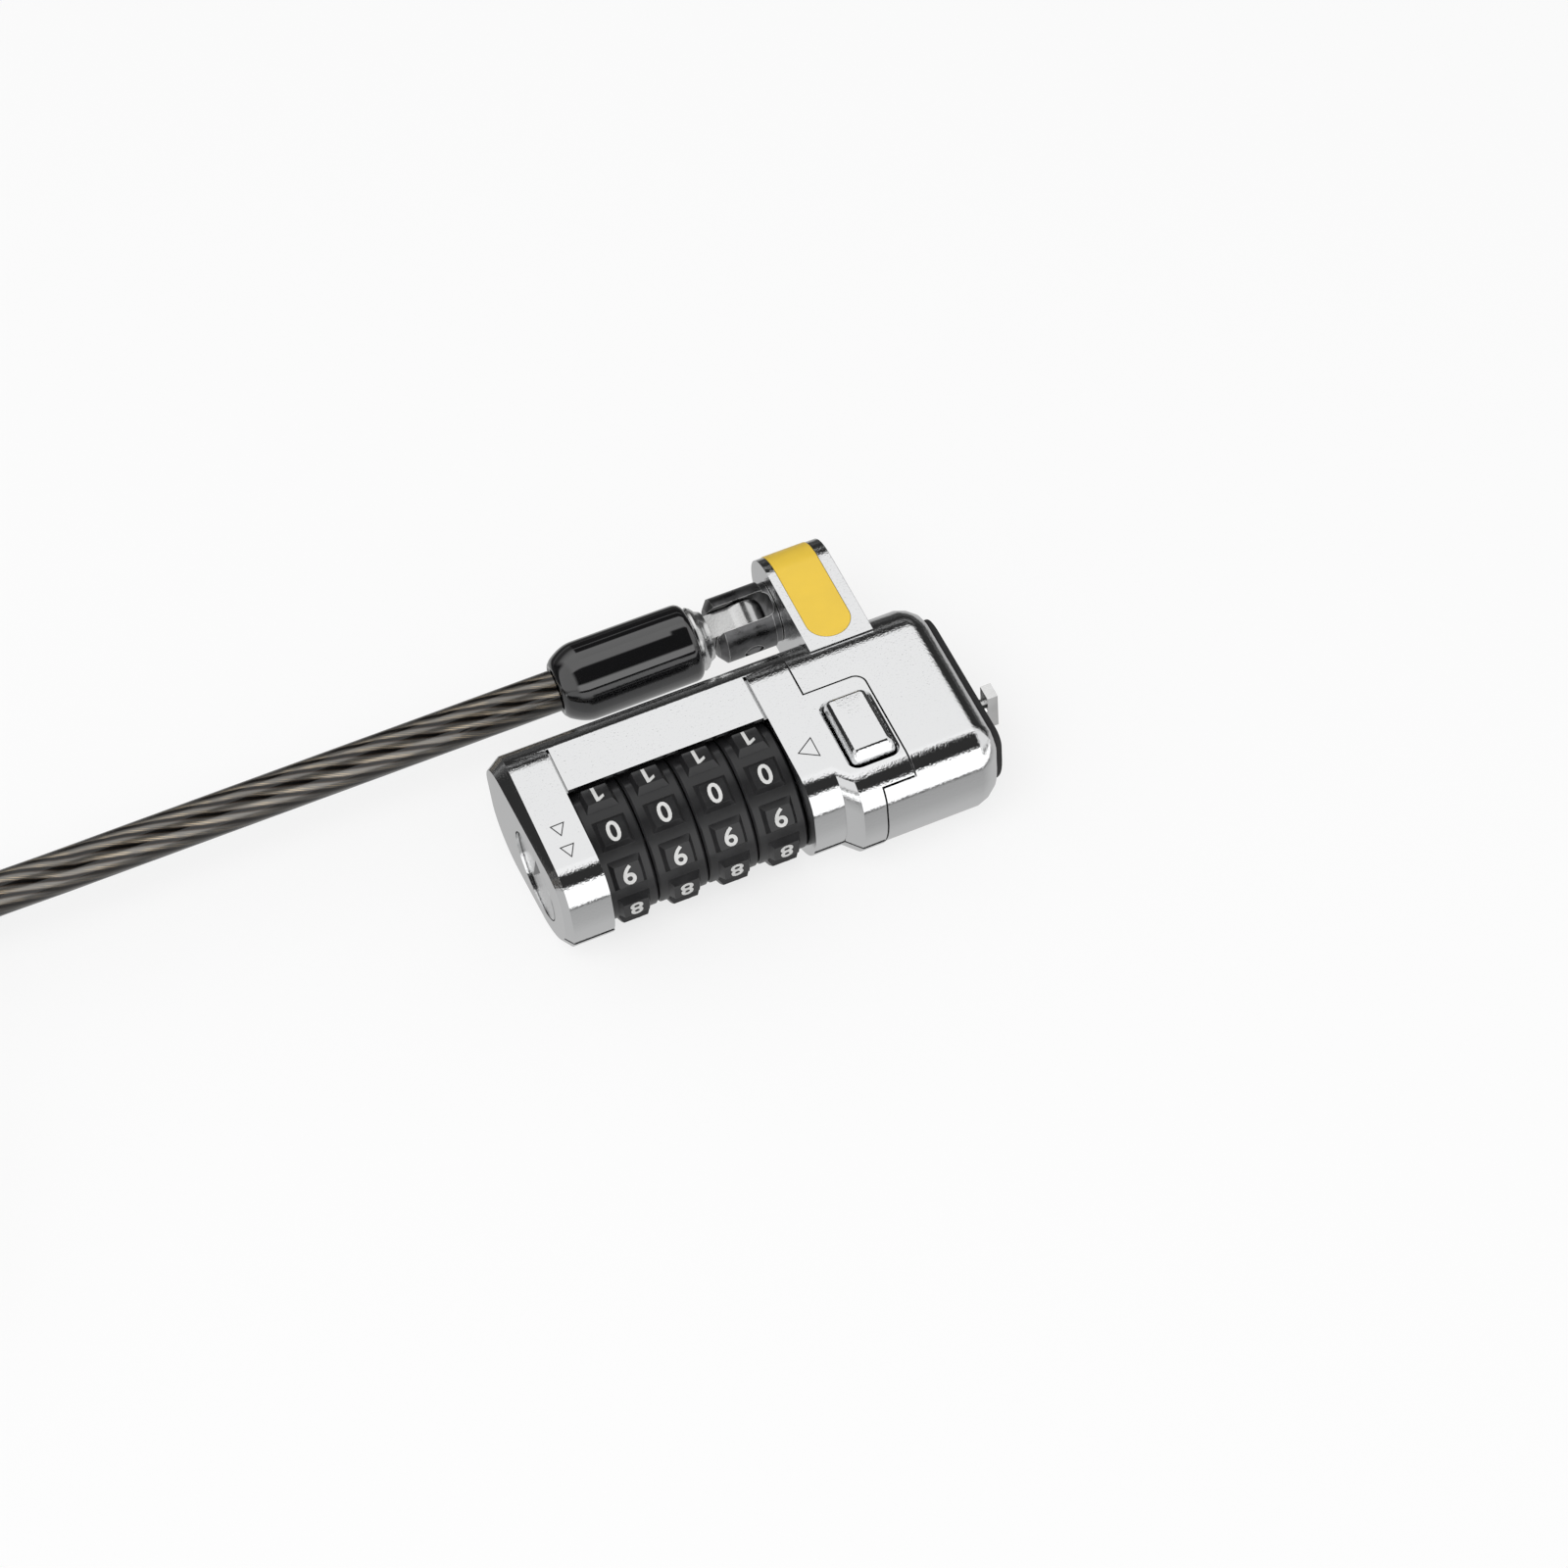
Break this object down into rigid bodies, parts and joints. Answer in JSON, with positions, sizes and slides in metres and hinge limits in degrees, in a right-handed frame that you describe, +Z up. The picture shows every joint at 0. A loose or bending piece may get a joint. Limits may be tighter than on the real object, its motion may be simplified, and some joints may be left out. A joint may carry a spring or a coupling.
{
  "type": "laptop cable lock",
  "caption": "Combination cable lock for a laptop's security slot: dial head with a swivelling sheathed steel cable that ends in a loop.",
  "frame": {"origin": "centre of the lock head's box, on its flat underside", "axes": "+X towards the laptop, +Y to the side that carries the cable swivel, +Z up"},
  "size_m": [0.3173, 0.0665, 0.0241],
  "materials": {
    "chrome_plate": "polished plating",
    "yellow_band": "satin",
    "black_rubber": "matte",
    "bright_steel": "satin",
    "dark_nickel": "dark plated",
    "brass_bush": "turned",
    "black_dial": "satin",
    "black_boot": "glossy",
    "smoky_sheath": "glossy clear sheath over strands",
    "black_strap": "woven"
  },
  "bodies": {
    "cable": {"cable_terminal": "bright_steel", "boot": "black_boot", "cable_run": "smoky_sheath", "cable_hank": "smoky_sheath", "cable_end": "smoky_sheath", "end_loop": "smoky_sheath", "loop_ferrule": "bright_steel", "cable_tie": "black_strap"},
    "clevis": {"swivel_clevis": "dark_nickel", "clevis_pin": "dark_nickel", "swivel_clip": "bright_steel"},
    "lock": {"rear_body": "chrome_plate", "front_collar": "chrome_plate", "lug_band": "yellow_band", "face_pad": "black_rubber", "spindle": "bright_steel", "spindle_spring": "bright_steel", "detent_spring": "bright_steel", "dowel_pins": "bright_steel", "guide_bush": "brass_bush"},
    "dial_1_body": {"dial_1": "black_dial", "clutch_sleeve_1": "brass_bush"},
    "dial_2_body": {"dial_2": "black_dial", "clutch_sleeve_2": "brass_bush"},
    "dial_3_body": {"dial_3": "black_dial", "clutch_sleeve_3": "brass_bush"},
    "dial_4_body": {"dial_4": "black_dial", "clutch_sleeve_4": "brass_bush"},
    "reset": {"reset_disc": "chrome_plate"},
    "release": {"release_button": "chrome_plate", "latch_plate": "bright_steel", "button_spring": "bright_steel"},
    "anchor": {"anchor_stud": "bright_steel", "anchor_washer": "black_rubber"}
  },
  "joints": [
    {"name": "cable_pivot", "type": "hinge", "parent": "cable", "child": "clevis", "pos_m": [0.00803, 0.01738, 0.0142], "axis": [0, 0.9397, 0.342], "range_deg": [-8, 8]},
    {"name": "swivel", "type": "hinge", "parent": "clevis", "child": "lock", "pos_m": [0.01803, 0.01738, 0.0142], "axis": [1, 0, 0], "continuous": true},
    {"name": "dial_1_turn", "type": "hinge", "parent": "lock", "child": "dial_1_body", "pos_m": [-0.02389, -0.01043, 0.0111], "axis": [1, 0, 0], "continuous": true},
    {"name": "dial_2_turn", "type": "hinge", "parent": "lock", "child": "dial_2_body", "pos_m": [-0.01629, -0.01043, 0.0111], "axis": [1, 0, 0], "continuous": true},
    {"name": "dial_3_turn", "type": "hinge", "parent": "lock", "child": "dial_3_body", "pos_m": [-0.00869, -0.01043, 0.0111], "axis": [1, 0, 0], "continuous": true},
    {"name": "dial_4_turn", "type": "hinge", "parent": "lock", "child": "dial_4_body", "pos_m": [-0.00109, -0.01043, 0.0111], "axis": [1, 0, 0], "continuous": true},
    {"name": "reset_turn", "type": "hinge", "parent": "lock", "child": "reset", "pos_m": [-0.03445, -0.01043, 0.0111], "axis": [1, 0, 0], "range_deg": [0, 90]},
    {"name": "button_press", "type": "slide", "parent": "lock", "child": "release", "axis": [0, 0, -1], "range_m": [0, 0.0016], "stiffness_N_per_m": 400, "springref_m": -0.0003, "deforming": ["button_spring"]},
    {"name": "anchor_turn", "type": "hinge", "parent": "lock", "child": "anchor", "pos_m": [0.02403, -0.01043, 0.0111], "axis": [1, 0, 0], "continuous": true}
  ]
}
